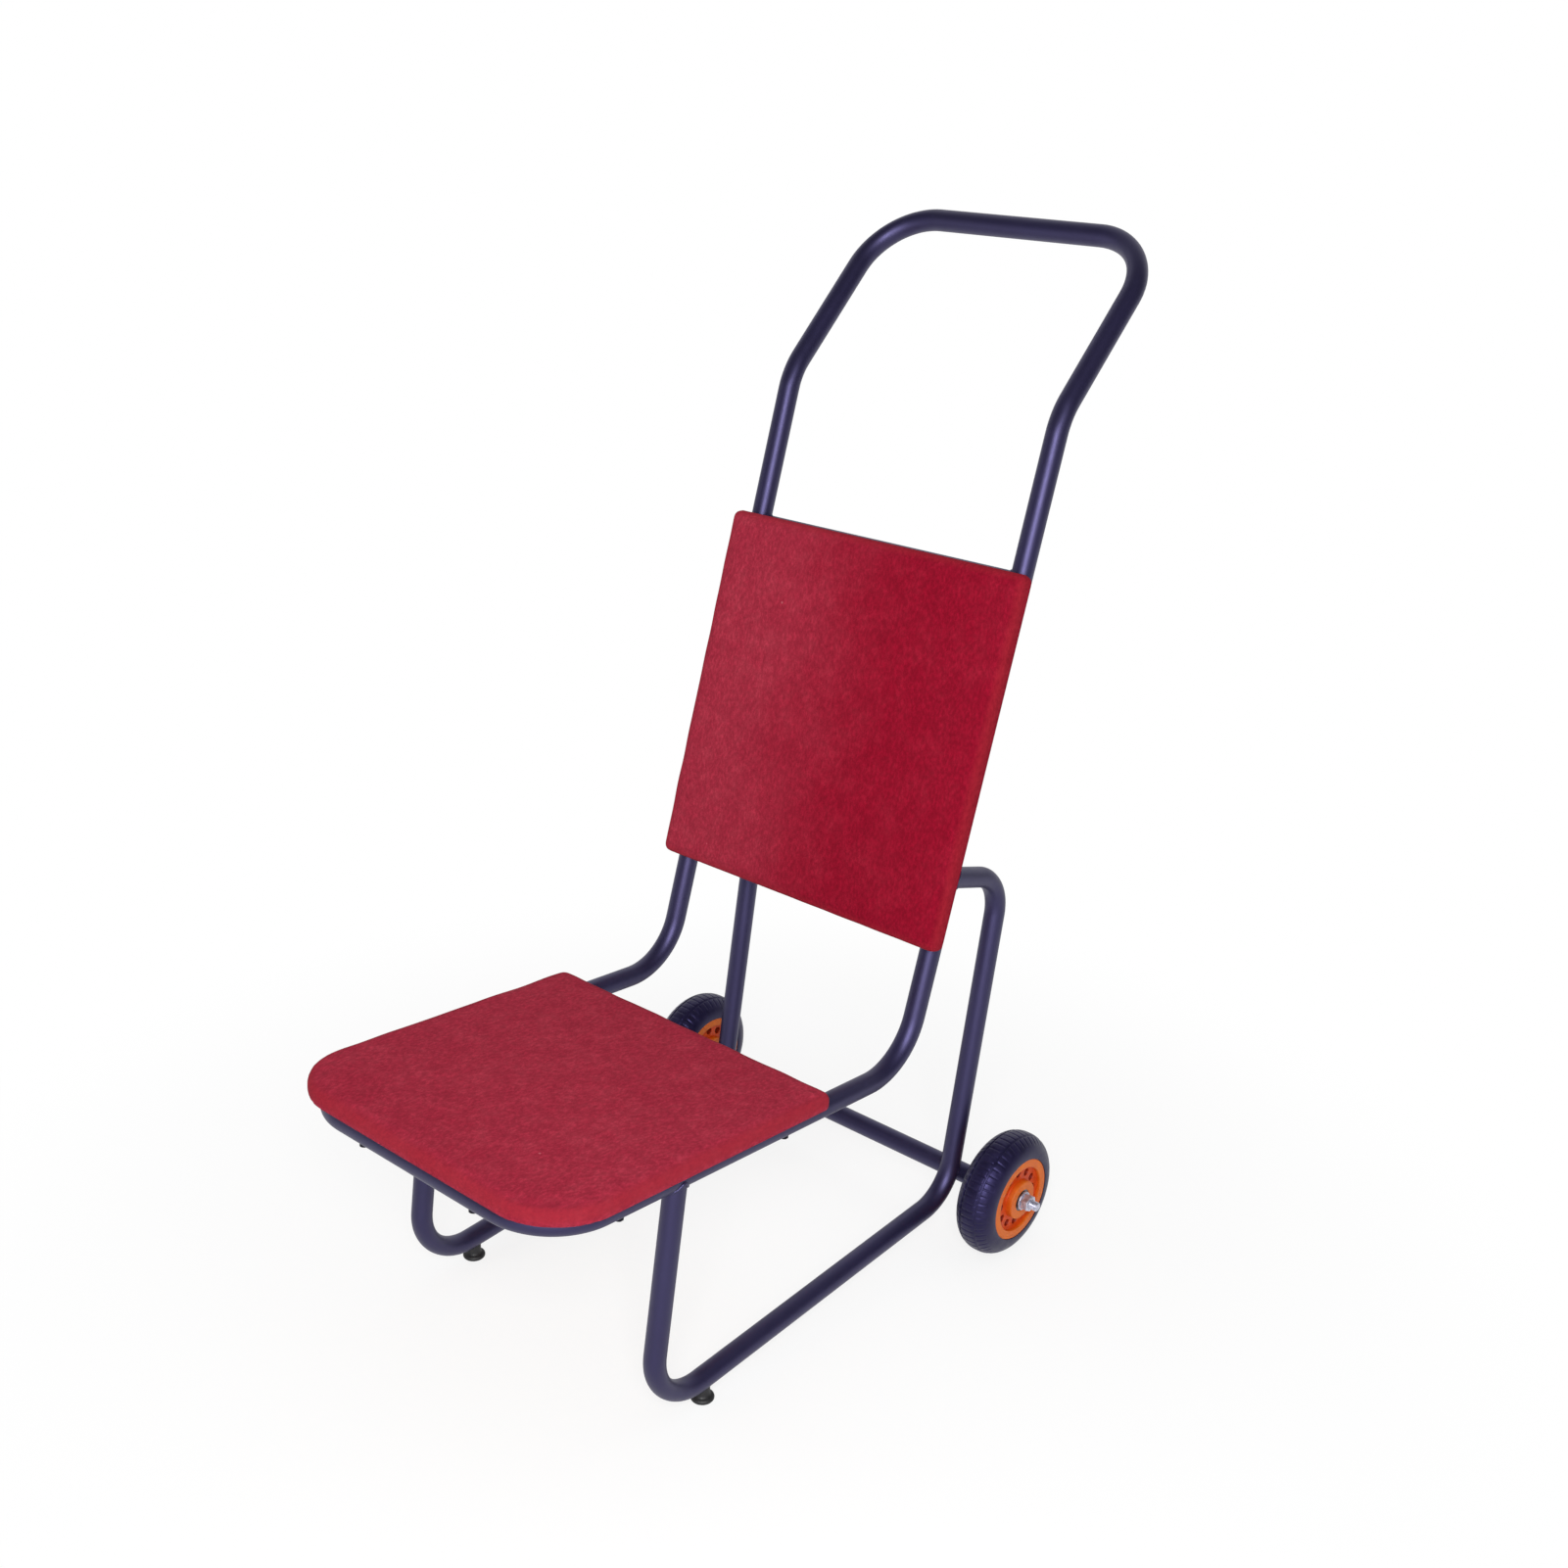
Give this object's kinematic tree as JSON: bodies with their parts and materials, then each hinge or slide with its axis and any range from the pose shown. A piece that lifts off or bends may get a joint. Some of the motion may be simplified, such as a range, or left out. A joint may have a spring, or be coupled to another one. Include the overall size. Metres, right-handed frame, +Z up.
{
  "type": "stacking chair trolley",
  "caption": "Two-wheeled trolley for a stack of chairs: bent tube frame with push handle, felt covered seat and back panels, side loops, axle bar, wheels and feet.",
  "frame": {"origin": "on the floor, under the middle of the length and the width", "axes": "+X to the trolley's left-to-right width as seen from its front, +Y to the rear where the handle is, +Z up"},
  "size_m": [0.6278, 0.9612, 1.1968],
  "materials": {
    "frame_paint": "satin indigo-black powder coat",
    "zinc_steel": "zinc plated",
    "bearing_steel": "ground steel",
    "plywood": "raw",
    "red_felt": "needle felt",
    "black_plastic": "moulded",
    "black_rubber": "matte",
    "tyre_rubber": "matte",
    "orange_plastic": "moulded satin"
  },
  "bodies": {
    "frame": {"handle_bow": "frame_paint", "seat_bow": "frame_paint", "frame_sleeves": "zinc_steel", "left_loop": "frame_paint", "right_loop": "frame_paint", "axle_bar": "frame_paint", "upper_rail": "frame_paint", "back_board": "plywood", "back_cover": "red_felt", "seat_board": "plywood", "seat_cover": "red_felt", "back_screws": "zinc_steel", "rail_screws": "zinc_steel", "seat_screws": "zinc_steel", "axle_rod": "zinc_steel", "axle_plugs": "black_plastic", "inner_spacers": "zinc_steel", "outer_washers": "zinc_steel", "axle_nuts": "zinc_steel", "left_foot": "black_rubber", "right_foot": "black_rubber", "foot_studs": "zinc_steel"},
    "left_wheel": {"left_tyre": "tyre_rubber", "left_rim": "orange_plastic", "left_bearings": "bearing_steel"},
    "right_wheel": {"right_tyre": "tyre_rubber", "right_rim": "orange_plastic", "right_bearings": "bearing_steel"}
  },
  "joints": [
    {"name": "left_wheel_spin", "type": "hinge", "parent": "frame", "child": "left_wheel", "pos_m": [-0.2625, 0.22666, 0.08], "axis": [1, 0, 0], "continuous": true},
    {"name": "right_wheel_spin", "type": "hinge", "parent": "frame", "child": "right_wheel", "pos_m": [0.2625, 0.22666, 0.08], "axis": [1, 0, 0], "continuous": true}
  ]
}
